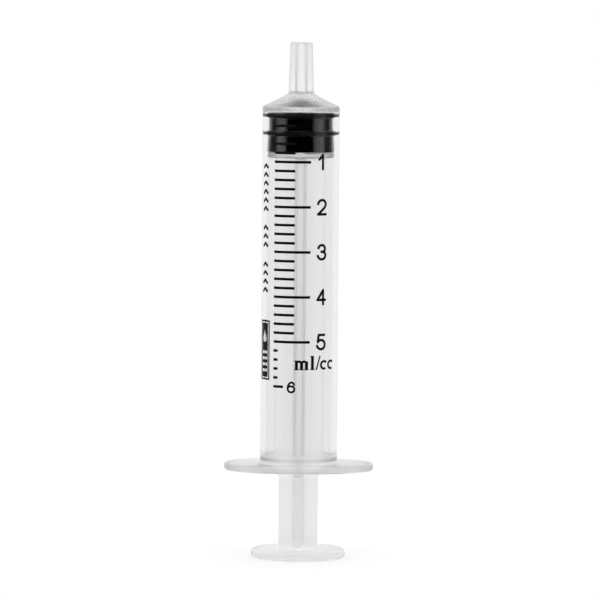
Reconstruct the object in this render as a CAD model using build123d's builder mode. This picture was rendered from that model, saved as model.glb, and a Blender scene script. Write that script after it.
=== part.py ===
"""Oral syringe, 5 mL with a 6 mL extended scale: barrel, gasket, plunger rod and printed scale.

Millimetres, +Z along the barrel towards the tip. The origin is the centre of the thumb rest's
underside, the syringe stands on its thumb rest, and the print faces -Y. The plunger is fully in.
"""

from build123d import *
from math import cos, pi, radians, sin, tan
import os

# Barrel
BARREL_R = 7.05
BORE_R = 6.235
FLANGE_Z = 16.0
FLANGE_T = 1.4
FLANGE_LENGTH = 27.3
FLANGE_DEPTH = 16.8
FLANGE_EDGE_R = 0.45
FLANGE_ROOT_R = 0.5
MOUTH_CHAMFER = 0.35
BEAD_Z = 18.5
BEAD_HEIGHT = 0.32
BEAD_LENGTH = 1.1

# Shoulder and tip
SHOULDER_Z = 82.66
SHOULDER_SLOPE = 26.3
SHOULDER_WALL = 1.1
SHOULDER_EDGE_R = 0.4
TIP_Z = 94.4
TIP_END_R = 2.03
TIP_TAPER = 0.06
TIP_ROOT_R = 0.9
TIP_RIM_R = 0.3
LUMEN_R = 0.9
LUMEN_CHAMFER = 0.15

# Gasket
SEAL_GAP = 0.02
SEAL_RING_TOP = 81.55
SEAL_RING_T = 0.85
SEAL_RING_PITCH = 3.25
SEAL_RING_ROUND = 0.2
GROOVE_R = 5.82
SKIRT_Z = 74.5
SKIRT_R = 6.18
SKIRT_TOP_R = 5.97
NOSE_EDGE_R = 5.85
NOSE_FLAT_R = 1.0
NOSE_HEIGHT = 1.75

# Plunger rod
THUMB_R = 8.65
THUMB_T = 1.5
THUMB_EDGE_R = 0.6
RIB_T = 1.2
STEM_HALF_WIDTH = 3.55
RIB_HALF_WIDTH = 4.575
STEP_Z = 15.0
STEP_HEIGHT = 0.6
HEAD_Z = 73.4
HEAD_T = 1.0
HEAD_R = 6.05
HEAD_EDGE_R = 0.25
NECK_R = 2.2
BARB_Z = 76.0
BARB_R = 3.0
BARB_TOP_Z = 79.0
BARB_TOP_R = 1.6
BARB_GAP = 0.08

# Printed scale: heights run down from the zero line, angles run from the front (-Y) towards +X
INK_T = 0.03
ZERO_Z = 80.97
MM3_PER_ML = 1000
ML_HEIGHT = MM3_PER_ML / (pi * BORE_R**2)
NOMINAL_ML = 5
EXTENDED_ML = 6
STEPS_PER_ML = 5
LINE_W = 0.48
SCALE_EDGE = -41.7
MAJOR_END = 15.5
MINOR_END = -8.0
SHORT_END = -34.0
EXTENDED_END = -24.5

# Lettering
NUMERAL_ANGLE = 34.0
NUMERAL_HEIGHT = 3.07
NUMERAL_WIDTH = 2.15
NUMERAL_STROKE = 0.47
SMALL_NUMERAL_ANGLE = -12.0
SMALL_NUMERAL_Z = 31.8
SMALL_NUMERAL_HEIGHT = 2.16
SMALL_NUMERAL_WIDTH = 1.6
SMALL_NUMERAL_STROKE = 0.37
GLYPH_DEPTH = 0.9
UNIT_Z = 34.95
X_HEIGHT = 1.78
ASCENDER = 2.6
STEM_W = 0.55
STEM_PITCH = 0.92
SERIF_T = 0.17
SERIF_REACH = 0.15
ARCH_W = 0.42
ARCH_RISE = 0.62
ARCH_CROWN = 0.55
SLASH_HALF_WIDTH = 0.4
SLASH_W = 0.27
C_ARC_R = 0.68
C_START = 58
C_SWEEP = 244
C_STROKE = 0.42
C_BALL_R = 0.24
M_ANGLE = 3.4
L_ANGLE = 19.9
SLASH_ANGLE = 29.2
C_ANGLES = (39.6, 53.4)

# Side marks
SIDE_ANGLE = -63.0
CHEVRON_WIDTH = 1.9
CHEVRON_RISE = 0.55
CHEVRON_STROKE = 0.48
CHEVRON_PITCH = 1.55
CHEVRON_GROUPS = [(72.2, 6), (61.0, 3), (54.3, 4)]
PANEL_ANGLE = -63.0
PANEL_WIDTH = 3.1
PANEL_TOP = 43.8
PANEL_BOTTOM = 32.9
PANEL_KEYLINE = 0.22
PANEL_MARGIN = 0.3
PANEL_BARS = 4
PANEL_BAR_PITCH = 1.1
PANEL_BAR_T = 0.5
PANEL_BAR_DROP = 0.4
PANEL_BAR_INSET = 0.4
DROP_R = 0.66
DROP_TIP = 1.85
DROP_TANGENT = 20

# Centre lines of the numerals, in a box from -1 to 1 each way
NUMERAL_PATHS = {
    1: [("line", (-0.75, 0.38), (0.12, 1), (0.12, -1))],
    2: [
        ("arc", (-1, 0.45), (0, 1), (1, 0.42)),
        ("line", (1, 0.42), (0.72, -0.02), (-1, -1), (1, -1)),
    ],
    3: [
        ("arc", (-0.85, 0.58), (0, 1), (0.86, 0.5)),
        ("arc", (0.86, 0.5), (0.62, 0.16), (-0.1, 0.06)),
        ("arc", (-0.1, 0.06), (0.72, -0.08), (1, -0.44)),
        ("arc", (1, -0.44), (0, -1), (-1, -0.5)),
    ],
    4: [("line", (1, -0.38), (-1, -0.38), (0.42, 1), (0.42, -1))],
    5: [
        ("line", (0.85, 1), (-0.62, 1), (-0.84, 0)),
        ("arc", (-0.84, 0), (0.35, 0.24), (1, -0.33)),
        ("arc", (1, -0.33), (0, -1), (-1, -0.52)),
    ],
    6: [
        ("arc", (-1, -0.3), (-0.72, 0.55), (0.1, 1)),
        ("arc", (0.1, 1), (0.62, 0.88), (0.92, 0.52)),
        ("arc", (-1, -0.3), (-0.6, -0.88), (0, -1)),
        ("arc", (0, -1), (1, -0.38), (0, 0.2)),
        ("arc", (0, 0.2), (-0.7, 0.06), (-1, -0.3)),
    ],
}

slope = tan(radians(SHOULDER_SLOPE))
cap_axial = SHOULDER_WALL / cos(radians(SHOULDER_SLOPE))
inner_cone_z = SHOULDER_Z + (BARREL_R - BORE_R) * slope - cap_axial
inner_apex_z = inner_cone_z + (BORE_R - LUMEN_R) * slope
tip_root_r = (TIP_END_R + TIP_TAPER / 2 * (TIP_Z - SHOULDER_Z - BARREL_R * slope)) / (
    1 - TIP_TAPER / 2 * slope
)
tip_root_z = SHOULDER_Z + (BARREL_R - tip_root_r) * slope
seal_r = BORE_R - SEAL_GAP


def label_plane(angle, height):
    """The plane that touches the barrel at this print angle, with local Y up the barrel."""
    turn = radians(angle - 90)
    normal = Vector(cos(turn), sin(turn), 0)
    return Plane(
        origin=normal * BARREL_R + Vector(0, 0, height),
        x_dir=(-sin(turn), cos(turn), 0),
        z_dir=normal,
    )


def section_plane(angle):
    """The half-plane through the barrel's axis at this print angle: local X out, local Y up."""
    turn = radians(angle - 90)
    return Plane(origin=(0, 0, 0), x_dir=(cos(turn), sin(turn), 0), z_dir=(sin(turn), -cos(turn), 0))


def graduation_z(volume):
    """Height of the line that marks this volume in mL."""
    return ZERO_Z - ML_HEIGHT * volume


def draw_lines(volumes, start, end):
    """Adds the printed lines for these volumes, from one print angle round to the other."""
    with BuildSketch(section_plane(start)) as line_sections:
        with Locations(*[(BARREL_R + INK_T / 2, graduation_z(v)) for v in volumes]):
            Rectangle(INK_T, LINE_W)
    revolve(line_sections.sketch, axis=Axis.Z, revolution_arc=end - start)


def stroke(path, width):
    """Adds a pen stroke of this width along the path, with a round nib at each corner and end."""
    for edge in path.edges():
        trace(edge, line_width=width)
        with Locations(edge @ 0, edge @ 1):
            Circle(width / 2)


def wrap_on_barrel():
    """Turns the flat glyph sketch into ink lying on the barrel's outside."""
    extrude(amount=GLYPH_DEPTH, both=True)
    with BuildSketch(Plane.XY.offset(FLANGE_Z)) as ink_ring:
        Circle(BARREL_R + INK_T)
        Circle(BARREL_R, mode=Mode.SUBTRACT)
    extrude(ink_ring.sketch, amount=SHOULDER_Z - FLANGE_Z, mode=Mode.INTERSECT)


def draw_numeral(digit, width, height, pen):
    """Adds one numeral, centred on the origin, to the open sketch."""
    half_width, half_height = (width - pen) / 2, (height - pen) / 2
    for kind, *points in NUMERAL_PATHS[digit]:
        placed = [(half_width * x, half_height * y) for x, y in points]
        with BuildLine() as centre_line:
            if kind == "arc":
                ThreePointArc(*placed)
            else:
                Polyline(*placed)
        stroke(centre_line.line, pen)


def draw_foot(x):
    """Adds the slab foot of a stem that stands at this local X."""
    with Locations((x, SERIF_T / 2)):
        Rectangle(STEM_W + 2 * SERIF_REACH, SERIF_T)


def draw_flag(x, height):
    """Adds the flag at the head of a stem, on its left."""
    with Locations((x - SERIF_REACH, height - SERIF_T / 2)):
        Rectangle(STEM_W, SERIF_T)


def draw_m():
    """Adds a bold m with three slab-footed stems, its baseline on the local X axis."""
    stem_height = X_HEIGHT - SERIF_T
    for k in (-1, 0, 1):
        with Locations((k * STEM_PITCH, stem_height / 2)):
            Rectangle(STEM_W, stem_height)
        draw_foot(k * STEM_PITCH)
    draw_flag(-STEM_PITCH, X_HEIGHT)
    spring = X_HEIGHT - ARCH_RISE
    for k in (-1, 0):
        crown = ((k + ARCH_CROWN) * STEM_PITCH, X_HEIGHT - ARCH_W / 2)
        with BuildLine() as arch:
            ThreePointArc((k * STEM_PITCH, spring), crown, ((k + 1) * STEM_PITCH, spring))
        trace(arch.line, line_width=ARCH_W)


def draw_l():
    """Adds a bold l with a slab foot and a flag at its head."""
    with Locations((0, ASCENDER / 2)):
        Rectangle(STEM_W, ASCENDER)
    draw_foot(0)
    draw_flag(0, ASCENDER)


def draw_slash():
    """Adds the slash of the unit."""
    with BuildLine() as slant:
        Line((-SLASH_HALF_WIDTH, 0), (SLASH_HALF_WIDTH, ASCENDER))
    trace(slant.line, line_width=SLASH_W)


def draw_c():
    """Adds a bold c: a heavy round back with a ball at its upper end."""
    middle = X_HEIGHT / 2
    with BuildLine() as back:
        arc = CenterArc((0, middle), C_ARC_R, C_START, C_SWEEP)
    trace(back.line, line_width=C_STROKE)
    with Locations(arc @ 0):
        Circle(C_BALL_R)


def draw_chevron(height):
    """Adds one chevron that points to the tip, its foot at this local height."""
    half = (CHEVRON_WIDTH - CHEVRON_STROKE) / 2
    with BuildLine() as bend:
        Polyline((-half, height), (0, height + CHEVRON_RISE), (half, height))
    stroke(bend.line, CHEVRON_STROKE)


os.makedirs("parts", exist_ok=True)
pieces = []

# Barrel: one moulding. The tube, shoulder, tip and bore are one turned profile.
with BuildPart() as barrel:
    with BuildSketch(Plane.XZ) as wall_profile:
        with BuildLine():
            outside = FilletPolyline(
                (BARREL_R, FLANGE_Z),
                (BARREL_R, SHOULDER_Z),
                (tip_root_r, tip_root_z),
                (TIP_END_R, TIP_Z),
                (LUMEN_R + LUMEN_CHAMFER, TIP_Z),
                radius=(SHOULDER_EDGE_R, TIP_ROOT_R, TIP_RIM_R),
            )
            bead_low = (BORE_R, BEAD_Z - BEAD_LENGTH / 2)
            bead_high = (BORE_R, BEAD_Z + BEAD_LENGTH / 2)
            Polyline(
                (LUMEN_R + LUMEN_CHAMFER, TIP_Z),
                (LUMEN_R, TIP_Z - LUMEN_CHAMFER),
                (LUMEN_R, inner_apex_z),
                (BORE_R, inner_cone_z),
                bead_high,
            )
            ThreePointArc(bead_high, (BORE_R - BEAD_HEIGHT, BEAD_Z), bead_low)
            Polyline(
                bead_low,
                (BORE_R, FLANGE_Z + 2 * MOUTH_CHAMFER),
                (BORE_R + MOUTH_CHAMFER, FLANGE_Z),
                (BARREL_R, FLANGE_Z),
            )
        make_face()
    revolve(axis=Axis.Z)
    with BuildSketch(Plane.XY.offset(FLANGE_Z)) as flange_plan:
        Ellipse(FLANGE_LENGTH / 2, FLANGE_DEPTH / 2)
        Circle((BORE_R + BARREL_R) / 2, mode=Mode.SUBTRACT)
    extrude(amount=FLANGE_T)
    rims = barrel.edges().filter_by(lambda e: abs(e.bounding_box().size.X - FLANGE_LENGTH) < 0.01)
    fillet(rims, radius=FLANGE_EDGE_R)
    root = barrel.edges().filter_by(GeomType.CIRCLE).filter_by(
        lambda e: abs(e.radius - BARREL_R) < 0.01 and abs(e.center().Z - FLANGE_Z - FLANGE_T) < 0.01
    )
    fillet(root, radius=FLANGE_ROOT_R)
pieces.append(("barrel", barrel))

# Gasket: two sealing rings, a skirt that flares to the wall, a low cone facing the shoulder and
# a cavity that the rod's barb snaps into.
ring_low_top = SEAL_RING_TOP - SEAL_RING_PITCH
with BuildPart() as gasket:
    with BuildSketch(Plane.XZ) as gasket_profile:
        with BuildLine():
            Polyline(
                (0, SEAL_RING_TOP + NOSE_HEIGHT),
                (NOSE_FLAT_R, SEAL_RING_TOP + NOSE_HEIGHT),
                (NOSE_EDGE_R, SEAL_RING_TOP),
                (seal_r - SEAL_RING_ROUND, SEAL_RING_TOP),
                (seal_r, SEAL_RING_TOP - SEAL_RING_ROUND),
                (seal_r, SEAL_RING_TOP - SEAL_RING_T + SEAL_RING_ROUND),
                (seal_r - SEAL_RING_ROUND, SEAL_RING_TOP - SEAL_RING_T),
                (GROOVE_R, SEAL_RING_TOP - SEAL_RING_T),
                (GROOVE_R, ring_low_top),
                (seal_r - SEAL_RING_ROUND, ring_low_top),
                (seal_r, ring_low_top - SEAL_RING_ROUND),
                (seal_r, ring_low_top - SEAL_RING_T + SEAL_RING_ROUND),
                (seal_r - SEAL_RING_ROUND, ring_low_top - SEAL_RING_T),
                (SKIRT_TOP_R, ring_low_top - SEAL_RING_T),
                (SKIRT_R, SKIRT_Z),
                (NECK_R + BARB_GAP, SKIRT_Z),
                (NECK_R + BARB_GAP, BARB_Z - BARB_GAP),
                (BARB_R + BARB_GAP, BARB_Z - BARB_GAP),
                (BARB_TOP_R + BARB_GAP, BARB_TOP_Z + BARB_GAP),
                (0, BARB_TOP_Z + BARB_GAP),
                close=True,
            )
        make_face()
    revolve(axis=Axis.Z)
pieces.append(("gasket", gasket))

# Plunger rod: thumb rest, narrow stem, wide ribs, head disc and barb in one moulding.
with BuildPart() as plunger_rod:
    with BuildSketch(Plane.XY):
        Circle(THUMB_R)
    extrude(amount=THUMB_T)
    fillet(plunger_rod.edges(), radius=THUMB_EDGE_R)
    for rib_plane in (Plane.XZ, Plane.YZ):
        with BuildSketch(rib_plane) as rib_profile:
            with BuildLine():
                Polyline(
                    (-STEM_HALF_WIDTH, THUMB_T / 2),
                    (STEM_HALF_WIDTH, THUMB_T / 2),
                    (STEM_HALF_WIDTH, STEP_Z),
                    (RIB_HALF_WIDTH, STEP_Z + STEP_HEIGHT),
                    (RIB_HALF_WIDTH, HEAD_Z + HEAD_T / 2),
                    (-RIB_HALF_WIDTH, HEAD_Z + HEAD_T / 2),
                    (-RIB_HALF_WIDTH, STEP_Z + STEP_HEIGHT),
                    (-STEM_HALF_WIDTH, STEP_Z),
                    close=True,
                )
            make_face()
        extrude(amount=RIB_T / 2, both=True)
    with BuildSketch(Plane.XZ) as head_profile:
        with BuildLine():
            head_edge = FilletPolyline(
                (0, HEAD_Z),
                (HEAD_R, HEAD_Z),
                (HEAD_R, HEAD_Z + HEAD_T),
                (NECK_R, HEAD_Z + HEAD_T),
                radius=HEAD_EDGE_R,
            )
            Polyline(
                (NECK_R, HEAD_Z + HEAD_T),
                (NECK_R, BARB_Z),
                (BARB_R, BARB_Z),
                (BARB_TOP_R, BARB_TOP_Z),
                (0, BARB_TOP_Z),
                (0, HEAD_Z),
            )
        make_face()
    revolve(axis=Axis.Z)
pieces.append(("plunger_rod", plunger_rod))

# Printed lines
whole_ml = [float(v) for v in range(NOMINAL_ML + 1)]
steps = [k / STEPS_PER_ML for k in range(1, EXTENDED_ML * STEPS_PER_ML) if k % STEPS_PER_ML]

with BuildPart() as major_graduation_lines:
    draw_lines(whole_ml, SCALE_EDGE, MAJOR_END)
pieces.append(("major_graduation_lines", major_graduation_lines))

with BuildPart() as minor_graduation_lines:
    draw_lines([v for v in steps if v < NOMINAL_ML], SCALE_EDGE, MINOR_END)
pieces.append(("minor_graduation_lines", minor_graduation_lines))

with BuildPart() as extended_graduation_lines:
    draw_lines([v for v in steps if v > NOMINAL_ML], SCALE_EDGE, SHORT_END)
    draw_lines([EXTENDED_ML], SCALE_EDGE, EXTENDED_END)
pieces.append(("extended_graduation_lines", extended_graduation_lines))

# Numerals: 1 to 5 beside their lines, and a smaller 6 beside the last line
for digit in range(1, NOMINAL_ML + 1):
    with BuildPart() as numeral:
        with BuildSketch(label_plane(NUMERAL_ANGLE, graduation_z(digit))):
            draw_numeral(digit, NUMERAL_WIDTH, NUMERAL_HEIGHT, NUMERAL_STROKE)
        wrap_on_barrel()
    pieces.append((f"numeral_{digit}", numeral))

with BuildPart() as small_numeral:
    with BuildSketch(label_plane(SMALL_NUMERAL_ANGLE, SMALL_NUMERAL_Z)):
        draw_numeral(EXTENDED_ML, SMALL_NUMERAL_WIDTH, SMALL_NUMERAL_HEIGHT, SMALL_NUMERAL_STROKE)
    wrap_on_barrel()
pieces.append((f"numeral_{EXTENDED_ML}", small_numeral))

# Unit: each letter on its own plane, so that the word bends round the barrel
with BuildPart() as unit_marking:
    for angle, draw_letter in (
        (M_ANGLE, draw_m),
        (L_ANGLE, draw_l),
        (SLASH_ANGLE, draw_slash),
        (C_ANGLES[0], draw_c),
        (C_ANGLES[1], draw_c),
    ):
        with BuildSketch(label_plane(angle, UNIT_Z)):
            draw_letter()
    wrap_on_barrel()
pieces.append(("unit_marking", unit_marking))

# Side marks: three groups of chevrons that point to the tip
with BuildPart() as side_marking:
    with BuildSketch(label_plane(SIDE_ANGLE, 0)):
        for top, count in CHEVRON_GROUPS:
            for k in range(count):
                draw_chevron(top - CHEVRON_RISE - k * CHEVRON_PITCH)
    wrap_on_barrel()
pieces.append(("side_marking", side_marking))

# Marking panel: a black field with a keyline, a drop and bars left open
panel_height = PANEL_TOP - PANEL_BOTTOM
frame_w = PANEL_WIDTH - 2 * PANEL_MARGIN
frame_h = panel_height - 2 * PANEL_MARGIN
with BuildPart() as marking_panel:
    with BuildSketch(label_plane(PANEL_ANGLE, (PANEL_TOP + PANEL_BOTTOM) / 2)):
        Rectangle(PANEL_WIDTH, panel_height)
        Rectangle(frame_w, frame_h, mode=Mode.SUBTRACT)
        Rectangle(frame_w - 2 * PANEL_KEYLINE, frame_h - 2 * PANEL_KEYLINE)
        drop_y = panel_height / 4
        with Locations((0, drop_y - DROP_R)):
            Circle(DROP_R, mode=Mode.SUBTRACT)
        lean = radians(DROP_TANGENT)
        touch_x, touch_y = DROP_R * cos(lean), drop_y - DROP_R + DROP_R * sin(lean)
        with BuildLine():
            Polyline((-touch_x, touch_y), (touch_x, touch_y), (0, drop_y - DROP_R + DROP_TIP), close=True)
        make_face(mode=Mode.SUBTRACT)
        for k in range(PANEL_BARS):
            with Locations((0, -PANEL_BAR_DROP - k * PANEL_BAR_PITCH)):
                Rectangle(frame_w - 2 * PANEL_BAR_INSET, PANEL_BAR_T, mode=Mode.SUBTRACT)
    wrap_on_barrel()
pieces.append(("marking_panel", marking_panel))

for name, piece in pieces:
    piece.part.label = name
    export_step(piece.part, f"parts/{name}.step")
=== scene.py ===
"""Oral syringe: barrel, gasket, plunger rod and printed scale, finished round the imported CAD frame."""

import math

import bmesh
import bpy
import numpy as np
from bpy.props import FloatProperty, FloatVectorProperty, IntProperty, PointerProperty
from bpy.types import Operator, Panel, PropertyGroup
from mathutils import Matrix, Vector


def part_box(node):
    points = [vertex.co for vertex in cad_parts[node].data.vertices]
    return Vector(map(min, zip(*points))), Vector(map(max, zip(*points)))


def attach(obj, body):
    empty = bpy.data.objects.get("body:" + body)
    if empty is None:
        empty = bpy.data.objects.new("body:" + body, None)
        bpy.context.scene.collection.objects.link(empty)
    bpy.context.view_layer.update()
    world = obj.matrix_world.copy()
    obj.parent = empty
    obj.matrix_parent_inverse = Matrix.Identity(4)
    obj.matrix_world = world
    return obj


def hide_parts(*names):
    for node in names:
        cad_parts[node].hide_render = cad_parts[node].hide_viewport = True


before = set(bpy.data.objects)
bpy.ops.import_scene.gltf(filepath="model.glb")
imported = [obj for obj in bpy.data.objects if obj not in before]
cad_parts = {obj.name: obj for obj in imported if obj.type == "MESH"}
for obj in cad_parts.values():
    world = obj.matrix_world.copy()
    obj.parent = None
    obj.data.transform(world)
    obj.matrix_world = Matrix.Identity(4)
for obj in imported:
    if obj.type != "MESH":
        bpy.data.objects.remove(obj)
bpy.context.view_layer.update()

bl_info = {
    "name": "Oral Syringe",
    "version": (1, 0, 0),
    "blender": (4, 5, 0),
    "location": "3D View > Sidebar > Syringe",
    "description": "Builds the moulded, rubber and printed pieces of an oral syringe",
    "category": "Object",
}

MM = 0.001
BARREL_LOW, BARREL_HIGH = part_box("barrel")
ROD_LOW, ROD_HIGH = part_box("plunger_rod")
GASKET_LOW, GASKET_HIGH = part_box("gasket")
TOTAL_LENGTH = BARREL_HIGH[2]

# Mesh fineness
AROUND = 192
ARC_STEPS = 6
RIB_ARC_STEPS = 4
LINE_POINTS = 25
FLOOR_SIDES = 96
SMOOTH_ANGLE = math.radians(35)

# HOLD is how far outside a rounded corner a holding edge keeps the shading flat
HOLD = 0.05 * MM
HOLD_ROOM = 1.5 * HOLD

# A smaller turn (radians) is no corner, nearer points (metres) are one, and a smaller radius is the axis
STRAIGHT = 1e-4
WELD = 1e-8
ON_AXIS = 1e-7

# Roundings shared by several edges
HAIR_ROUND = 0.05 * MM
FINE_ROUND = 0.1 * MM
SOFT_ROUND = 0.2 * MM
FULL_ROUND = 0.3 * MM

INK_NODES = [f"numeral_{k}" for k in range(1, 7)] + ["unit_marking", "side_marking", "marking_panel"]

# Finish tables: (place on the syringe, millimetres above it, value there). The barrel's and rod's second
# tables are painted shade that darkens the plastic's colour along the axis.
BARREL_ROUGHNESS = [
    ("flange", 1.0, 0.42),
    ("flange", 2.5, 0.1),
    ("shoulder", -1.6, 0.08),
    ("shoulder", -0.6, 0.24),
    ("shoulder", 3.0, 0.3),
    ("tip", 0.0, 0.6),
]
# Painted shade: darkens the tube between flange and shoulder, while flange and shoulder keep full colour
BARREL_PAINTED_SHADE = [
    ("flange", 0.0, 1.0),
    ("flange", 1.0, 0.95),
    ("shoulder", -0.6, 0.95),
    ("shoulder", 0.5, 1.0),
]
ROD_ROUGHNESS = [("step", -1.0, 0.55), ("step", 1.0, 0.4), ("top", 0.0, 0.36)]
# Painted shade: darkens the stem between thumb rest and step, while the thumb rest and the rod inside the
# barrel stay near full colour
ROD_PAINTED_SHADE = [("foot", 1.4, 1.0), ("foot", 2.6, 0.875), ("step", -1.0, 0.875), ("step", 1.0, 0.985)]
GASKET_ROUGHNESS = [
    ("low ring foot", -0.1, 0.09),
    ("low ring foot", 0.1, 0.6),
    ("low ring top", -0.1, 0.6),
    ("low ring top", 0.1, 0.09),
    ("top ring foot", -0.1, 0.09),
    ("top ring foot", 0.1, 0.6),
]

# Node values
UNIT = (0.0, 1.0)
HALF = 0.5
FLIP = -1.0

# Noise detail, and noise scales per metre
COARSE_DETAIL = 2.0
MIDDLE_DETAIL = 3.0
FINE_DETAIL = 4.0
FLOW_ACROSS = 900
FLOW_ALONG = 45
PLASTIC_GRAIN = 5200
RUBBER_GRAIN = 9000
FILM_ACROSS = 700
FILM_ALONG = 260
SCREEN_GRAIN = 14000
INK_PATCHES = 1600
PAPER_FIBRE = 160

# Plastic
STREAK_SHADE = 0.985
PLASTIC_UNEVEN = (0.85, 1.15)
GRAIN_SHARE = (0.0, 0.35)
PLASTIC_BUMP = 0.01 * MM
PLASTIC_IOR = 1.49
SURFACE_TINT = (0.4, 0.4, 0.4, 1)
BARREL_HAZE = 0.05
ROD_HAZE = 0.12

# Rubber
RUBBER_BLOOM = 2.2
FILM_UNEVEN = (0.8, 1.25)
RUBBER_BUMP = 0.008 * MM
RUBBER_BUMP_STRENGTH = 0.25
RUBBER_IOR = 1.5
RUBBER_GLOSS = 0.45

# Ink
INK_THIN = 3.0
INK_ROUGHNESS = (0.38, 0.62)
INK_BUMP = 0.004 * MM
INK_BUMP_STRENGTH = 0.3
INK_GLOSS = 0.1

# Floor paper
FIBRE_SHADE = 0.995
PAPER_ROUGHNESS = 0.9
PAPER_GLOW = 0.42
WHITE = (1, 1, 1, 1)

# Light panels: (heading in degrees round the syringe from the front, brightness)
PANELS = [
    (-180, 0.94), (-123, 0.94), (-117, 0.15), (-84, 0.05), (-78, 1.4), (-52, 1.0), (-48, 0.0),
    (40, 0.0), (44, 0.7), (76, 1.5), (81, 0.05), (114, 0.15), (120, 0.94), (180, 0.94),
]
CEILING = (0.45, 0.6)
FULL_TURN = 360

# Light has to pass through many clear walls
MAX_BOUNCES = 48
GLOSSY_BOUNCES = 32

# Camera reach in metres
CLIP_NEAR = 0.01
CLIP_FAR = 50.0


def length(name, text, millimetres):
    """A length property with its default given in millimetres."""
    return FloatProperty(
        name=name, description=text, default=millimetres * MM, min=0.0, precision=6, unit="LENGTH"
    )


def turn(name, text, degrees):
    """An angle property with its default given in degrees."""
    return FloatProperty(name=name, description=text, default=math.radians(degrees), subtype="ANGLE")


def share(name, text, value):
    """A property from 0 to 1."""
    return FloatProperty(name=name, description=text, default=value, min=0.0, max=1.0, subtype="FACTOR")


def tint(name, text, colour):
    """A colour property."""
    return FloatVectorProperty(
        name=name, description=text, default=colour, size=3, min=0.0, max=1.0, subtype="COLOR"
    )


class BarrelSizes(PropertyGroup):
    """Sizes of the barrel moulding."""

    outer_radius: length("Outer radius", "Outside of the tube", 7.05)
    bore_radius: length("Bore radius", "Inside of the tube", 6.235)
    flange_thickness: length("Flange thickness", "Thickness of the finger flange", 1.4)
    flange_edge: length("Flange edge", "Radius of the flange's rounded rim", 0.45)
    flange_root: length("Flange root", "Fillet between flange and tube", 0.5)
    mouth_chamfer: length("Mouth chamfer", "Lead-in at the open end of the bore", 0.35)
    bead_height: length("Bead height", "How far the stop bead stands into the bore", 0.32)
    bead_length: length("Bead length", "Length of the stop bead along the bore", 1.1)
    bead_rise: length("Bead rise", "From the flange's underside to the bead's crest", 2.5)
    bead_round: length("Bead rounding", "Radius of the bead's crest", 0.35)
    shoulder_drop: length("Shoulder drop", "From the tip's end down to the shoulder's rim", 11.74)
    shoulder_slope: turn("Shoulder slope", "Slope of the conical shoulder", 26.3)
    shoulder_wall: length("Shoulder wall", "Thickness of the conical shoulder", 1.1)
    shoulder_edge: length("Shoulder edge", "Radius between tube and shoulder", 0.4)
    tip_radius: length("Tip radius", "Outside of the tip at its end", 2.03)
    tip_taper: share("Tip taper", "Taper of the tip on its diameter", 0.06)
    tip_root: length("Tip root", "Fillet between shoulder and tip", 0.9)
    lumen_radius: length("Lumen radius", "Hole through the tip", 0.9)
    lumen_edge: length("Lumen edge", "Radius at the mouth of the lumen", 0.12)


class GasketSizes(PropertyGroup):
    """Sizes of the rubber gasket."""

    seal_bite: length("Seal bite", "How far the rings press into the bore's wall", 0.012)
    ring_height: length("Ring height", "Height of one sealing ring", 0.85)
    ring_pitch: length("Ring pitch", "From one sealing ring to the next", 3.25)
    groove_radius: length("Groove radius", "Rubber between the rings", 5.82)
    groove_round: length("Groove rounding", "Radius in the corners of the groove", 0.15)
    skirt_radius: length("Skirt radius", "Lower lip of the gasket", 6.18)
    skirt_top: length("Skirt top", "Radius where the flared skirt starts", 5.97)
    skirt_lip: length("Skirt lip", "Radius of the lip's rounded edge", 0.12)
    nose_height: length("Nose height", "Height of the conical nose", 1.75)
    nose_flat: length("Nose flat", "Radius of the flat on the nose", 1.0)
    nose_setback: length("Nose setback", "From the sealing ring in to the foot of the nose", 0.4)
    mouth_radius: length("Mouth radius", "Opening round the rod's neck", 2.28)
    pocket_radius: length("Pocket radius", "Widest part of the pocket that holds the barb", 3.08)
    pocket_top: length("Pocket top", "Radius of the pocket at its upper end", 1.68)
    pocket_low: length("Pocket floor", "From the skirt up to the pocket", 1.42)
    pocket_high: length("Pocket roof", "From the skirt up to the pocket's upper end", 4.58)


class RodSizes(PropertyGroup):
    """Sizes of the plunger rod."""

    thumb_thickness: length("Thumb rest", "Thickness of the thumb rest", 1.5)
    thumb_edge: length("Thumb edge", "Radius of the thumb rest's rounded edge", 0.65)
    rib_thickness: length("Rib thickness", "Thickness of the cross ribs", 1.2)
    rib_edge: length("Rib edge", "Radius along the ribs' outer edges", 0.18)
    rib_root: length("Rib root", "Fillet where two ribs meet", 0.45)
    stem_half: length("Stem half width", "Half width of the ribs outside the barrel", 3.55)
    rib_half: length("Rib half width", "Half width of the ribs inside the barrel", 4.575)
    rib_flare: length("Rib flare", "How far the ribs widen into the discs", 0.35)
    step_rise: length("Step rise", "Height at which the ribs widen", 15.0)
    step_height: length("Step height", "Height of the chamfer between the two widths", 0.6)
    head_drop: length("Head drop", "From the barb's end down to the head disc's underside", 5.6)
    head_thickness: length("Head thickness", "Thickness of the head disc", 1.0)
    head_radius: length("Head radius", "Radius of the head disc", 6.05)
    neck_radius: length("Neck radius", "Neck between head disc and barb", 2.2)
    barb_radius: length("Barb radius", "Widest part of the barb", 3.0)
    barb_top: length("Barb top", "Radius of the barb at its end", 1.6)
    barb_round: length("Barb rounding", "Radius round the barb's end", 0.4)
    barb_hook: length("Barb hook", "Radius of the barb's widest edge", 0.15)
    barb_height: length("Barb height", "Height of the barb", 3.0)
    grip_groove: length("Grip groove", "Depth of the rings under the thumb rest", 0.1)
    grip_radius: length("Grip radius", "Radius of the innermost ring", 3.6)
    grip_pitch: length("Grip pitch", "From one ring to the next", 1.4)
    grip_count: IntProperty(name="Grip rings", description="Rings under the thumb rest", default=3, min=1)


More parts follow.
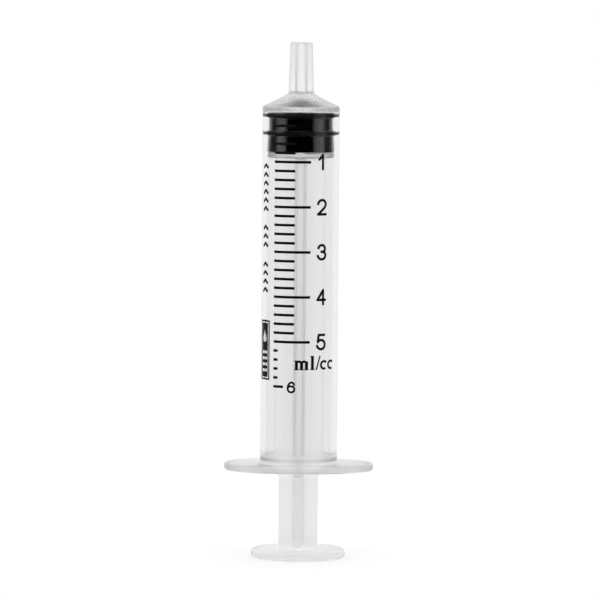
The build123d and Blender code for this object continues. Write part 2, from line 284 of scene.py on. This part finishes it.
class PrintSizes(PropertyGroup):
    """Sizes of the printed graduation lines."""

    ink: length("Ink", "Thickness of the printed ink", 0.03)
    line_width: length("Line width", "Width of a graduation line", 0.48)
    zero_height: length("Zero height", "Height of the zero line", 80.97)
    ml_height: length("Millilitre", "Height between whole millilitres", 8.188)
    nominal: IntProperty(name="Nominal", description="Nominal volume in millilitres", default=5, min=1)
    steps: IntProperty(name="Steps", description="Graduation steps in a millilitre", default=5, min=1)
    scale_edge: turn("Scale edge", "Angle at which the lines start", -41.7)
    major_sweep: turn("Major sweep", "Angle that a whole-millilitre line covers", 57.2)
    minor_sweep: turn("Minor sweep", "Angle that a step line covers", 33.7)
    short_sweep: turn("Short sweep", "Angle that an extended step line covers", 7.7)
    last_sweep: turn("Last sweep", "Angle that the last line covers", 17.2)


class Finishes(PropertyGroup):
    """Colours of the materials."""

    clear_tint: tint("Clear plastic", "What the barrel's plastic lets through", (0.997, 0.998, 0.998))
    rod_tint: tint("Rod plastic", "What the rod's plastic lets through", (0.996, 0.997, 0.996))
    rubber: tint("Rubber", "Colour of the gasket", (0.003, 0.003, 0.0033))
    ink: tint("Ink", "Colour of the print", (0.002, 0.002, 0.0022))
    floor: tint("Floor", "Colour of the studio floor", (0.72, 0.72, 0.72))


class StudioSettings(PropertyGroup):
    """Camera and floor."""

    aim_height: length("Aim height", "Height on the axis that the camera looks at", 47.26)
    aim_side: length("Aim side", "How far right of the axis the camera looks", 0.055)
    distance: length("Distance", "Camera to axis", 838.0)
    pitch: turn("Pitch", "How far the camera looks down", 4.02)
    roll: turn("Roll", "How far the camera leans", 0.445)
    lens: FloatProperty(name="Lens", description="Focal length in millimetres", default=274.5)
    floor_radius: length("Floor radius", "Radius at which the floor has thinned out to nothing", 45.0)
    floor_firm: length("Firm radius", "Radius up to which the floor is solid", 12.0)


# ---------------------------------------------------------------- mesh helpers


def corner_arc(before, corner, after, radius, steps):
    """Points of the arc that rounds one corner, with a holding point on each side."""
    into = (corner - before).normalized()
    out = (after - corner).normalized()
    angle = into.angle_signed(out)
    if radius <= 0 or abs(angle) < STRAIGHT:
        return [corner]
    reach = radius * math.tan(abs(angle) / 2)
    start = corner - into * reach
    side = Vector((-into.y, into.x)) * (-1 if angle > 0 else 1)
    centre = start + side * radius
    spoke = start - centre
    points = []
    if (start - before).length > HOLD_ROOM:
        points.append(start - into * HOLD)
    for k in range(steps + 1):
        points.append(centre + Matrix.Rotation(-angle * k / steps, 2) @ spoke)
    finish = corner + out * reach
    if (after - finish).length > HOLD_ROOM:
        points.append(finish + out * HOLD)
    return points


def rounded(corners, closed=False, steps=ARC_STEPS):
    """A flat outline through (x, y, radius) corners, each rounded by its own radius."""
    places = [Vector(corner[:2]) for corner in corners]
    count = len(corners)
    path = []
    for i, (x, y, radius) in enumerate(corners):
        if not closed and i in (0, count - 1):
            path.append(places[i])
            continue
        path += corner_arc(places[i - 1], places[i], places[(i + 1) % count], radius, steps)
    return path


def reworked(mesh, *jobs):
    """Runs bmesh jobs on a mesh and points its faces outwards."""
    bm = bmesh.new()
    bm.from_mesh(mesh)
    for job in jobs:
        job(bm)
    bmesh.ops.recalc_face_normals(bm, faces=bm.faces)
    bm.to_mesh(mesh)
    bm.free()


def weld(bm):
    """Merges points that lie on each other."""
    bmesh.ops.remove_doubles(bm, verts=bm.verts, dist=WELD)


def close_poles(bm):
    """Gives each end cap of a turned mesh one point on the axis."""
    bmesh.ops.poke(bm, faces=[face for face in bm.faces if len(face.verts) == AROUND])


def smoothed(mesh):
    """The mesh with smooth faces and sharp edges where it bends hard."""
    mesh.shade_smooth()
    mesh.set_sharp_from_angle(angle=SMOOTH_ANGLE)
    return mesh


def mesh_from_rings(name, rings, closed):
    """A mesh through equal rings of points.

    Closed joins the last ring to the first. Open ends are capped.
    """
    rings = np.array(rings, float)
    count, around = rings.shape[:2]
    faces = []
    for i in range(count if closed else count - 1):
        low, high = i * around, (i + 1) % count * around
        for j in range(around):
            k = (j + 1) % around
            faces.append((low + j, low + k, high + k, high + j))
    if not closed:
        faces.append(tuple(range(around)))
        faces.append(tuple(range((count - 1) * around, count * around)))
    mesh = bpy.data.meshes.new(name)
    mesh.from_pydata(rings.reshape(-1, 3).tolist(), [], faces)
    reworked(mesh, weld)
    return smoothed(mesh)


def turned_rings(path, reach=None):
    """Rings of points from a (radius, height) path turned about the Z axis.

    reach(radius, angles) may give each ring its own radius at each angle.
    """
    angles = np.linspace(0, 2 * math.pi, AROUND, endpoint=False)
    rings = []
    for radius, height in path:
        radii = reach(radius, angles) if reach else np.full(AROUND, radius)
        heights = np.full(AROUND, height)
        rings.append(np.column_stack([radii * np.cos(angles), radii * np.sin(angles), heights]))
    return rings


def turned_mesh(name, path):
    """A solid of revolution from a path whose ends lie on the axis, with one vertex at each pole."""
    off_axis = [point for point in path if point[0] > ON_AXIS]
    mesh = mesh_from_rings(name, turned_rings(off_axis), closed=False)
    reworked(mesh, close_poles)
    return smoothed(mesh)


def place(name, mesh, material):
    """Puts a mesh in the scene as a piece at the origin with one material."""
    old = bpy.data.objects.get(name)
    if old:
        bpy.data.objects.remove(old)
    mesh.name = name
    mesh.materials.clear()
    mesh.materials.append(material)
    piece = bpy.data.objects.new(name, mesh)
    bpy.context.scene.collection.objects.link(piece)
    return piece


def applied(obj, name):
    """The object's evaluated result as a plain mesh. The object and its modifiers are removed."""
    graph = bpy.context.evaluated_depsgraph_get()
    mesh = bpy.data.meshes.new_from_object(obj.evaluated_get(graph))
    mesh.name = name
    bpy.data.objects.remove(obj)
    return mesh


def united(name, meshes):
    """One closed mesh from several that overlap."""
    base, *others = [bpy.data.objects.new(f"{name}_{k}", mesh) for k, mesh in enumerate(meshes)]
    for obj in [base] + others:
        bpy.context.scene.collection.objects.link(obj)
    for other in others:
        join = base.modifiers.new("join", "BOOLEAN")
        join.operation = "UNION"
        join.solver = "EXACT"
        join.object = other
    mesh = applied(base, name)
    for other in others:
        bpy.data.objects.remove(other)
    return smoothed(mesh)


# ---------------------------------------------------------------- materials


class Tree:
    """A short way to add nodes to a shader or geometry tree and link them."""

    def __init__(self, tree):
        self.tree = tree

    def add(self, kind, settings=None, **inputs):
        """Adds one node. Inputs are named with underscores for spaces; a socket value is linked."""
        node = self.tree.nodes.new(kind)
        for key, value in (settings or {}).items():
            setattr(node, key, value)
        for key, value in inputs.items():
            self.feed(node.inputs[key.replace("_", " ")], value)
        return node

    def feed(self, socket, value):
        """Links or sets one input."""
        if isinstance(value, bpy.types.NodeSocket):
            self.tree.links.new(value, socket)
        else:
            socket.default_value = value

    def maths(self, operation, *values):
        """The result of one Math node."""
        node = self.add("ShaderNodeMath", {"operation": operation})
        for socket, value in zip(node.inputs, values):
            self.feed(socket, value)
        return node.outputs[0]

    def ranged(self, value, start, end, **settings):
        """Maps a value from the range in start to the range in end, each a pair."""
        ends = {"From_Min": start[0], "From_Max": start[1], "To_Min": end[0], "To_Max": end[1]}
        return self.add("ShaderNodeMapRange", settings, Value=value, **ends).outputs["Result"]

    def mixed(self, factor, first, second, blend="MIX"):
        """Two colours mixed, or multiplied where blend is MULTIPLY."""
        mix = self.add("ShaderNodeMix", {"data_type": "RGBA", "blend_type": blend})
        for key, value in (("Factor", factor), ("A", first), ("B", second)):
            self.feed(mix.inputs[key], value)
        return mix.outputs["Result"]

    def ramp(self, value, stops):
        """A grey value that follows (position, level) stops."""
        node = self.add("ShaderNodeValToRGB", Fac=value)
        points = node.color_ramp.elements
        while len(points) < len(stops):
            points.new(0.5)
        for point, (position, level) in zip(points, stops):
            point.position = position
            point.color = (level, level, level, 1)
        return node.outputs["Color"]

    def noise(self, across, along, detail):
        """Noise in object space with its own scale across and along the barrel."""
        coords = self.add("ShaderNodeTexCoord")
        scale = (across, across, along)
        mapping = self.add("ShaderNodeMapping", Vector=coords.outputs["Object"], Scale=scale)
        settings = {"Vector": mapping.outputs[0], "Scale": 1.0, "Detail": detail}
        return self.add("ShaderNodeTexNoise", **settings).outputs["Fac"]

    def along_axis(self, stops):
        """A value that follows (height, value) stops along the syringe's axis."""
        coords = self.add("ShaderNodeTexCoord")
        along = self.add("ShaderNodeSeparateXYZ", Vector=coords.outputs["Object"]).outputs["Z"]
        reach = self.ranged(along, (0, TOTAL_LENGTH), UNIT)
        return self.ramp(reach, [(height / TOTAL_LENGTH, value) for height, value in stops])

    def bump(self, shader, height, strength, distance):
        """Raises the shader's surface by a height."""
        bump = self.add("ShaderNodeBump", Strength=strength, Distance=distance, Height=height)
        self.feed(shader.inputs["Normal"], bump.outputs[0])


def shader_tree(name):
    """A new material, its tree and its Principled node."""
    material = bpy.data.materials.get(name) or bpy.data.materials.new(name)
    material.use_nodes = True
    material.node_tree.nodes.clear()
    tree = Tree(material.node_tree)
    principled = tree.add("ShaderNodeBsdfPrincipled")
    tree.add("ShaderNodeOutputMaterial", Surface=principled.outputs["BSDF"])
    return material, tree, principled


def opaque(colour, factor=1.0):
    """A colour made darker or lighter, with full alpha."""
    return (*[min(1.0, part * factor) for part in colour], 1)


def stops_at(table, heights):
    """(height, value) stops from a finish table and the height of each place in it."""
    return [(heights[where] + above * MM, value) for where, above, value in table]


def moulded_plastic(name, colour, roughness, painted_shade, haze):
    """Polypropylene: flow lines along the draw, fine grain, roughness that follows the axis, and painted
    shade that darkens its colour along the axis.
    """
    material, tree, plastic = shader_tree(name)
    flow = tree.noise(FLOW_ACROSS, FLOW_ALONG, FINE_DETAIL)
    grain = tree.noise(PLASTIC_GRAIN, PLASTIC_GRAIN, COARSE_DETAIL)
    streaked = tree.mixed(flow, opaque(colour, STREAK_SHADE), opaque(colour))
    # Painted shade: the colour is darkened along the axis by the shade table
    with_painted_shade = tree.mixed(1.0, streaked, tree.along_axis(painted_shade), "MULTIPLY")
    tree.feed(plastic.inputs["Base Color"], with_painted_shade)
    uneven = tree.ranged(flow, UNIT, PLASTIC_UNEVEN)
    tree.feed(plastic.inputs["Roughness"], tree.maths("MULTIPLY", uneven, tree.along_axis(roughness)))
    height = tree.maths("ADD", flow, tree.ranged(grain, UNIT, GRAIN_SHARE))
    tree.bump(plastic, height, haze, PLASTIC_BUMP)
    plastic.inputs["IOR"].default_value = PLASTIC_IOR
    plastic.inputs["Transmission Weight"].default_value = 1.0
    plastic.inputs["Specular Tint"].default_value = SURFACE_TINT
    return material


def siliconed_rubber(name, colour, roughness):
    """Black rubber with a fine moulded grain and a thin, uneven film of silicone."""
    material, tree, rubber = shader_tree(name)
    grain = tree.noise(RUBBER_GRAIN, RUBBER_GRAIN, FINE_DETAIL)
    film = tree.noise(FILM_ACROSS, FILM_ALONG, MIDDLE_DETAIL)
    tree.feed(rubber.inputs["Base Color"], tree.mixed(grain, opaque(colour), opaque(colour, RUBBER_BLOOM)))
    uneven = tree.ranged(film, UNIT, FILM_UNEVEN)
    tree.feed(rubber.inputs["Roughness"], tree.maths("MULTIPLY", uneven, tree.along_axis(roughness)))
    tree.bump(rubber, grain, RUBBER_BUMP_STRENGTH, RUBBER_BUMP)
    rubber.inputs["IOR"].default_value = RUBBER_IOR
    rubber.inputs["Specular IOR Level"].default_value = RUBBER_GLOSS
    return material


def printed_ink(name, colour):
    """Screen-printed ink: nearly even black with a faint mesh grain and small thin spots."""
    material, tree, ink = shader_tree(name)
    screen = tree.noise(SCREEN_GRAIN, SCREEN_GRAIN, COARSE_DETAIL)
    patches = tree.noise(INK_PATCHES, INK_PATCHES, MIDDLE_DETAIL)
    tree.feed(ink.inputs["Base Color"], tree.mixed(patches, opaque(colour), opaque(colour, INK_THIN)))
    tree.feed(ink.inputs["Roughness"], tree.ranged(screen, UNIT, INK_ROUGHNESS))
    tree.bump(ink, screen, INK_BUMP_STRENGTH, INK_BUMP)
    ink.inputs["Specular IOR Level"].default_value = INK_GLOSS
    return material


def studio_paper(name, colour, inner, outer):
    """The pale floor: matt paper, lit just short of white, that thins out from inner to outer radius."""
    material, tree, paper = shader_tree(name)
    coords = tree.add("ShaderNodeTexCoord")
    away = tree.add("ShaderNodeVectorMath", {"operation": "LENGTH"})
    tree.feed(away.inputs[0], coords.outputs["Object"])
    thin = tree.ranged(away.outputs["Value"], (inner, outer), (1.0, 0.0), interpolation_type="SMOOTHSTEP")
    tree.feed(paper.inputs["Alpha"], thin)
    fibre = tree.noise(PAPER_FIBRE, PAPER_FIBRE, MIDDLE_DETAIL)
    tree.feed(paper.inputs["Base Color"], tree.mixed(fibre, opaque(colour, FIBRE_SHADE), opaque(colour)))
    paper.inputs["Roughness"].default_value = PAPER_ROUGHNESS
    paper.inputs["Specular IOR Level"].default_value = 0.0
    paper.inputs["Emission Color"].default_value = WHITE
    paper.inputs["Emission Strength"].default_value = PAPER_GLOW
    return material


# ---------------------------------------------------------------- pieces


def barrel_path(s):
    """Half section of the barrel as one closed (radius, height) outline, from the bore's end wall."""
    flange_low = BARREL_LOW[2]
    flange_high = flange_low + s.flange_thickness
    tip_high = BARREL_HIGH[2]
    rim = BARREL_HIGH[0]
    slope = math.tan(s.shoulder_slope)
    rim_high = tip_high - s.shoulder_drop
    wall_height = s.shoulder_wall / math.cos(s.shoulder_slope)
    inner_low = rim_high + (s.outer_radius - s.bore_radius) * slope - wall_height
    inner_high = inner_low + (s.bore_radius - s.lumen_radius) * slope
    half_taper = s.tip_taper / 2
    root_gain = half_taper * (s.shoulder_drop - s.outer_radius * slope)
    root_radius = (s.tip_radius + root_gain) / (1 - half_taper * slope)
    root_high = rim_high + (s.outer_radius - root_radius) * slope
    bead = flange_low + s.bead_rise
    crest = s.bore_radius - s.bead_height
    return [
        (s.bore_radius, inner_low, FULL_ROUND),
        (s.bore_radius, bead + s.bead_length / 2, FULL_ROUND),
        (crest, bead, s.bead_round),
        (s.bore_radius, bead - s.bead_length / 2, FULL_ROUND),
        (s.bore_radius, flange_low + 2 * s.mouth_chamfer, SOFT_ROUND),
        (s.bore_radius + s.mouth_chamfer, flange_low, FINE_ROUND),
        (rim, flange_low, s.flange_edge),
        (rim, flange_high, s.flange_edge),
        (s.outer_radius, flange_high, s.flange_root),
        (s.outer_radius, rim_high, s.shoulder_edge),
        (root_radius, root_high, s.tip_root),
        (s.tip_radius, tip_high, FULL_ROUND),
        (s.lumen_radius, tip_high, s.lumen_edge),
        (s.lumen_radius, inner_high, FULL_ROUND),
    ]


class SYRINGE_OT_barrel(Operator):
    """Build the clear barrel with its finger flange, shoulder and tip"""

    bl_idname = "syringe.barrel"
    bl_label = "Barrel"

    def execute(self, context):
        sizes, finish = context.scene.syringe_barrel, context.scene.syringe_finish
        rim, depth = BARREL_HIGH[0], BARREL_HIGH[1]
        edge_start = rim - sizes.flange_edge - 2 * HOLD

        def reach(radius, angles):
            """Turns the flange's rim into an oval and leaves the rest round."""
            if radius < edge_start:
                return np.full(AROUND, radius)
            oval = rim * depth / np.hypot(depth * np.cos(angles), rim * np.sin(angles))
            return oval - (rim - radius)

        path = rounded(barrel_path(sizes), closed=True)
        mesh = mesh_from_rings("barrel_moulding", turned_rings(path, reach), closed=True)
        heights = {
            "flange": BARREL_LOW[2] + sizes.flange_thickness,
            "shoulder": BARREL_HIGH[2] - sizes.shoulder_drop,
            "tip": BARREL_HIGH[2],
        }
        # The second table is painted shade along the barrel
        roughness, painted_shade = stops_at(BARREL_ROUGHNESS, heights), stops_at(BARREL_PAINTED_SHADE, heights)
        material = moulded_plastic(
            "clear_polypropylene_look", finish.clear_tint, roughness, painted_shade, BARREL_HAZE
        )
        piece = place("barrel_moulding", mesh, material)
        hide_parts("barrel")
        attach(piece, "barrel")
        return {"FINISHED"}


class SYRINGE_OT_gasket(Operator):
    """Build the black rubber gasket with its two sealing rings"""

    bl_idname = "syringe.gasket"
    bl_label = "Gasket"

    def execute(self, context):
        s, finish = context.scene.syringe_gasket, context.scene.syringe_finish
        seal = context.scene.syringe_barrel.bore_radius + s.seal_bite
        low, high = GASKET_LOW[2], GASKET_HIGH[2]
        top = high - s.nose_height
        top_foot = top - s.ring_height
        low_top = top - s.ring_pitch
        low_foot = low_top - s.ring_height
        corners = [
            (0, high, 0),
            (s.nose_flat, high, FULL_ROUND),
            (seal - s.nose_setback, top, FULL_ROUND),
            (seal, top, SOFT_ROUND),
            (seal, top_foot, SOFT_ROUND),
            (s.groove_radius, top_foot, s.groove_round),
            (s.groove_radius, low_top, s.groove_round),
            (seal, low_top, SOFT_ROUND),
            (seal, low_foot, SOFT_ROUND),
            (s.skirt_top, low_foot, FINE_ROUND),
            (s.skirt_radius, low, s.skirt_lip),
            (s.mouth_radius, low, FINE_ROUND),
            (s.mouth_radius, low + s.pocket_low, HAIR_ROUND),
            (s.pocket_radius, low + s.pocket_low, FINE_ROUND),
            (s.pocket_top, low + s.pocket_high, SOFT_ROUND),
            (0, low + s.pocket_high, 0),
        ]
        mesh = turned_mesh("gasket_rubber", rounded(corners))
        heights = {"low ring foot": low_foot, "low ring top": low_top, "top ring foot": top_foot}
        roughness = stops_at(GASKET_ROUGHNESS, heights)
        material = siliconed_rubber("black_rubber_look", finish.rubber, roughness)
        piece = place("gasket_rubber", mesh, material)
        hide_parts("gasket")
        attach(piece, "gasket")
        return {"FINISHED"}


def cross_outline(half_width, s):
    """The rod's cross section: four ribs with rounded edges and filleted roots."""
    t = s.rib_thickness / 2
    rib = ((half_width, -t, s.rib_edge), (half_width, t, s.rib_edge), (t, t, s.rib_root))
    corners = []
    for k in range(4):
        spin = Matrix.Rotation(k * math.pi / 2, 2)
        for x, y, radius in rib:
            at = spin @ Vector((x, y))
            corners.append((at.x, at.y, radius))
    return rounded(corners, closed=True, steps=RIB_ARC_STEPS)


def cross_ribs(s, low, head_low):
    """The four ribs from the thumb rest up to the head disc."""
    step = low + s.step_rise
    spine = rounded(
        [
            (s.stem_half + 2 * s.rib_flare, low + s.thumb_thickness / 2, 0),
            (s.stem_half, low + s.thumb_thickness + s.rib_flare, s.rib_flare),
            (s.stem_half, step, FULL_ROUND),
            (s.rib_half, step + s.step_height, FULL_ROUND),
            (s.rib_half, head_low - s.rib_flare, s.rib_flare),
            (s.rib_half + s.rib_flare, head_low + FULL_ROUND, 0),
        ],
        steps=RIB_ARC_STEPS,
    )
    rings = [[(p.x, p.y, height) for p in cross_outline(width, s)] for width, height in spine]
    return mesh_from_rings("ribs", rings, closed=False)


def thumb_disc(s, low):
    """The thumb rest, with rings in its underside."""
    thumb = ROD_HIGH[0]
    groove = s.grip_groove
    corners = [
        (0, low + s.thumb_thickness, 0),
        (thumb, low + s.thumb_thickness, s.thumb_edge),
        (thumb, low, s.thumb_edge),
    ]
    for k in reversed(range(s.grip_count)):
        middle = s.grip_radius + k * s.grip_pitch
        corners += [
            (middle + 2 * groove, low, HAIR_ROUND),
            (middle, low + groove, FINE_ROUND),
            (middle - 2 * groove, low, HAIR_ROUND),
        ]
    return turned_mesh("thumb_rest", rounded(corners + [(0, low, 0)]))


def head_and_barb(s, head_low, high):
    """The disc under the gasket, and the barb that the gasket snaps over."""
    disc_high = head_low + s.head_thickness
    hook = high - s.barb_height
    corners = [
        (0, high, 0),
        (s.barb_top, high, s.barb_round),
        (s.barb_radius, hook, s.barb_hook),
        (s.neck_radius, hook, FINE_ROUND),
        (s.neck_radius, disc_high, SOFT_ROUND),
        (s.head_radius, disc_high, FULL_ROUND),
        (s.head_radius, head_low, FULL_ROUND),
        (0, head_low, 0),
    ]
    return turned_mesh("head", rounded(corners))


class SYRINGE_OT_rod(Operator):
    """Build the plunger rod: thumb rest, cross ribs, head disc and barb in one moulding"""

    bl_idname = "syringe.rod"
    bl_label = "Plunger rod"

    def execute(self, context):
        s, finish = context.scene.syringe_rod, context.scene.syringe_finish
        low, high = ROD_LOW[2], ROD_HIGH[2]
        head_low = high - s.head_drop
        parts = [cross_ribs(s, low, head_low), thumb_disc(s, low), head_and_barb(s, head_low, high)]
        mesh = united("rod_moulding", parts)
        heights = {"foot": low, "step": low + s.step_rise, "top": high}
        # The second table is painted shade along the rod
        roughness, painted_shade = stops_at(ROD_ROUGHNESS, heights), stops_at(ROD_PAINTED_SHADE, heights)
        material = moulded_plastic(
            "natural_polypropylene_look", finish.rod_tint, roughness, painted_shade, ROD_HAZE
        )
        piece = place("rod_moulding", mesh, material)
        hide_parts("plunger_rod")
        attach(piece, "plunger")
        return {"FINISHED"}


def line_tree(material):
    """Geometry Nodes that lay printed lines round the barrel, one below another, and skip every nth."""
    tree = bpy.data.node_groups.new("graduation_lines", "GeometryNodeTree")
    sizes = ["Radius", "Ink", "Line Width", "Start Angle", "Sweep", "First Height", "Spacing"]
    for name in sizes:
        tree.interface.new_socket(name, in_out="INPUT", socket_type="NodeSocketFloat")
    for name in ("Count", "Skip Every"):
        tree.interface.new_socket(name, in_out="INPUT", socket_type="NodeSocketInt")
    tree.interface.new_socket("Geometry", in_out="OUTPUT", socket_type="NodeSocketGeometry")
    t = Tree(tree)
    given = t.add("NodeGroupInput").outputs
    arc = t.add(
        "GeometryNodeCurveArc",
        {"mode": "RADIUS"},
        Resolution=LINE_POINTS,
        Radius=t.maths("MULTIPLY_ADD", given["Ink"], HALF, given["Radius"]),
        Start_Angle=given["Start Angle"],
        Sweep_Angle=given["Sweep"],
    )
    section = t.add(
        "GeometryNodeCurvePrimitiveQuadrilateral", Width=given["Ink"], Height=given["Line Width"]
    )
    line = t.add(
        "GeometryNodeCurveToMesh",
        Curve=arc.outputs["Curve"],
        Profile_Curve=section.outputs["Curve"],
        Fill_Caps=True,
    )
    start = t.add("ShaderNodeCombineXYZ", Z=given["First Height"])
    step = t.add("ShaderNodeCombineXYZ", Z=t.maths("MULTIPLY", given["Spacing"], FLIP))
    ladder = t.add(
        "GeometryNodeMeshLine",
        Count=given["Count"],
        Start_Location=start.outputs[0],
        Offset=step.outputs[0],
    )
    index = t.add("GeometryNodeInputIndex").outputs[0]
    between = t.maths("GREATER_THAN", t.maths("MODULO", index, given["Skip Every"]), HALF)
    none_skipped = t.maths("LESS_THAN", given["Skip Every"], HALF)
    copies = t.add(
        "GeometryNodeInstanceOnPoints",
        Points=ladder.outputs["Mesh"],
        Selection=t.maths("MAXIMUM", between, none_skipped),
        Instance=line.outputs["Mesh"],
    )
    real = t.add("GeometryNodeRealizeInstances", Geometry=copies.outputs["Instances"])
    inked = t.add("GeometryNodeSetMaterial", Geometry=real.outputs["Geometry"], Material=material)
    t.add("NodeGroupOutput", Geometry=inked.outputs["Geometry"])
    return tree


def graduation_lines(name, tree, values, material, *nodes):
    """One piece of printed lines from the tree, standing for these CAD nodes."""
    carrier = bpy.data.objects.new(f"{name}_carrier", bpy.data.meshes.new(name))
    bpy.context.scene.collection.objects.link(carrier)
    lines = carrier.modifiers.new("lines", "NODES")
    lines.node_group = tree
    for item in tree.interface.items_tree:
        if item.in_out == "INPUT":
            lines[item.identifier] = values[item.name]
    mesh = applied(carrier, name)
    reworked(mesh, weld)
    piece = place(name, mesh, material)
    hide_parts(*nodes)
    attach(piece, "barrel")
    return piece


class SYRINGE_OT_scale(Operator):
    """Lay the graduation lines round the barrel"""

    bl_idname = "syringe.scale"
    bl_label = "Graduation lines"

    def execute(self, context):
        p, finish = context.scene.syringe_print, context.scene.syringe_finish
        ink = printed_ink("black_ink_look", finish.ink)
        tree = line_tree(ink)
        shared = {
            "Radius": context.scene.syringe_barrel.outer_radius,
            "Ink": p.ink,
            "Line Width": p.line_width,
            "Start Angle": p.scale_edge - math.pi / 2,
        }
        zero, ml, fine = p.zero_height, p.ml_height, p.ml_height / p.steps
        low = zero - p.nominal * ml
        short = low - fine
        marks = p.nominal * p.steps
        names = ("Sweep", "First Height", "Spacing", "Count", "Skip Every")
        groups = [
            ("major_graduation_lines", "scale_major_lines", p.major_sweep, zero, ml, p.nominal + 1, 0),
            ("minor_graduation_lines", "scale_minor_lines", p.minor_sweep, zero, fine, marks, p.steps),
            ("extended_graduation_lines", "scale_short_lines", p.short_sweep, short, fine, p.steps - 1, 0),
            ("extended_graduation_lines", "scale_last_line", p.last_sweep, low - ml, fine, 1, 0),
        ]
        for node, name, *numbers in groups:
            values = {**shared, **dict(zip(names, numbers))}
            graduation_lines(name, tree, values, ink, node)
        return {"FINISHED"}


class SYRINGE_OT_print(Operator):
    """Give the numerals, unit and side marks their ink"""

    bl_idname = "syringe.print"
    bl_label = "Numerals and marks"

    def execute(self, context):
        ink = printed_ink("black_ink_look", context.scene.syringe_finish.ink)
        for node in INK_NODES:
            for slot in bpy.data.objects[node].material_slots:
                slot.material = ink
        return {"FINISHED"}


# ---------------------------------------------------------------- stage


def studio_world():
    """Pale even light. What mirrors in the object sees bright panels at the sides and dark between them."""
    world = bpy.data.worlds.get("studio") or bpy.data.worlds.new("studio")
    world.use_nodes = True
    world.node_tree.nodes.clear()
    t = Tree(world.node_tree)
    coords = t.add("ShaderNodeTexCoord")
    facing = t.add("ShaderNodeSeparateXYZ", Vector=coords.outputs["Generated"]).outputs
    heading = t.maths("ARCTAN2", facing["X"], t.maths("MULTIPLY", facing["Y"], FLIP))
    around = t.ranged(heading, (-math.pi, math.pi), UNIT)
    panels = t.ramp(around, [(degrees / FULL_TURN + HALF, level) for degrees, level in PANELS])
    mirrored_light = t.mixed(t.ranged(facing["Z"], CEILING, UNIT), panels, WHITE)
    path = t.add("ShaderNodeLightPath").outputs
    bounces = t.maths("ADD", path["Glossy Depth"], path["Diffuse Depth"])
    seen = t.mixed(t.maths("COMPARE", bounces, 1.0, HALF), WHITE, mirrored_light)
    light = t.add("ShaderNodeBackground", Color=seen, Strength=1.0)
    t.add("ShaderNodeOutputWorld", Surface=light.outputs[0])
    world.cycles.sampling_method = "NONE"
    return world


def studio_floor(studio, colour):
    """A round sheet of paper under the thumb rest, which no mirroring or matt surface sees."""
    mesh = bpy.data.meshes.new("floor")
    bm = bmesh.new()
    bmesh.ops.create_circle(bm, cap_ends=True, segments=FLOOR_SIDES, radius=studio.floor_radius)
    bm.to_mesh(mesh)
    bm.free()
    paper = studio_paper("studio_paper", colour, studio.floor_firm, studio.floor_radius)
    floor = place("floor", mesh, paper)
    floor.visible_glossy = False
    floor.visible_diffuse = False


def studio_camera(studio):
    """A long lens, a little above the syringe and square to its print."""
    data = bpy.data.cameras.new("camera")
    data.lens = studio.lens
    data.clip_start = CLIP_NEAR
    data.clip_end = CLIP_FAR
    camera = bpy.data.objects.new("camera", data)
    aim = Vector((studio.aim_side, 0, studio.aim_height))
    back = Vector((0, -math.cos(studio.pitch), math.sin(studio.pitch)))
    look = Matrix.Rotation(math.pi / 2 - studio.pitch, 4, "X") @ Matrix.Rotation(studio.roll, 4, "Z")
    camera.matrix_world = Matrix.Translation(aim + back * studio.distance) @ look
    return camera


class SYRINGE_OT_stage(Operator):
    """Set up the floor, the light and the camera"""

    bl_idname = "syringe.stage"
    bl_label = "Stage"

    def execute(self, context):
        scene, studio = context.scene, context.scene.syringe_studio
        scene.world = studio_world()
        scene.view_settings.view_transform = "Standard"
        scene.cycles.max_bounces = MAX_BOUNCES
        scene.cycles.glossy_bounces = GLOSSY_BOUNCES
        scene.cycles.transmission_bounces = MAX_BOUNCES
        studio_floor(studio, scene.syringe_finish.floor)
        camera = studio_camera(studio)
        scene.collection.objects.link(camera)
        scene.camera = camera
        return {"FINISHED"}


class SYRINGE_PT_panel(Panel):
    """Sidebar panel that lists the pieces"""

    bl_idname = "SYRINGE_PT_panel"
    bl_label = "Oral Syringe"
    bl_space_type = "VIEW_3D"
    bl_region_type = "UI"
    bl_category = "Syringe"

    def draw(self, context):
        for operator in OPERATORS:
            self.layout.operator(operator.bl_idname)
        for name in SETTINGS:
            group = getattr(context.scene, name)
            box = self.layout.box()
            for key in group.bl_rna.properties.keys():
                if key not in ("rna_type", "name"):
                    box.prop(group, key)


SETTINGS = {
    "syringe_barrel": BarrelSizes,
    "syringe_gasket": GasketSizes,
    "syringe_rod": RodSizes,
    "syringe_print": PrintSizes,
    "syringe_finish": Finishes,
    "syringe_studio": StudioSettings,
}
OPERATORS = [
    SYRINGE_OT_barrel,
    SYRINGE_OT_gasket,
    SYRINGE_OT_rod,
    SYRINGE_OT_scale,
    SYRINGE_OT_print,
    SYRINGE_OT_stage,
]


def register():
    """Registers the settings, operators and panel."""
    for name, group in SETTINGS.items():
        bpy.utils.register_class(group)
        setattr(bpy.types.Scene, name, PointerProperty(type=group))
    for cls in OPERATORS + [SYRINGE_PT_panel]:
        bpy.utils.register_class(cls)


def unregister():
    """Removes what register added."""
    for cls in [SYRINGE_PT_panel] + OPERATORS[::-1]:
        bpy.utils.unregister_class(cls)
    for name, group in SETTINGS.items():
        delattr(bpy.types.Scene, name)
        bpy.utils.unregister_class(group)


def main():
    """Builds everything in order."""
    register()
    bpy.ops.syringe.barrel()
    bpy.ops.syringe.gasket()
    bpy.ops.syringe.rod()
    bpy.ops.syringe.scale()
    bpy.ops.syringe.print()
    bpy.ops.syringe.stage()


if __name__ == "__main__":
    main()
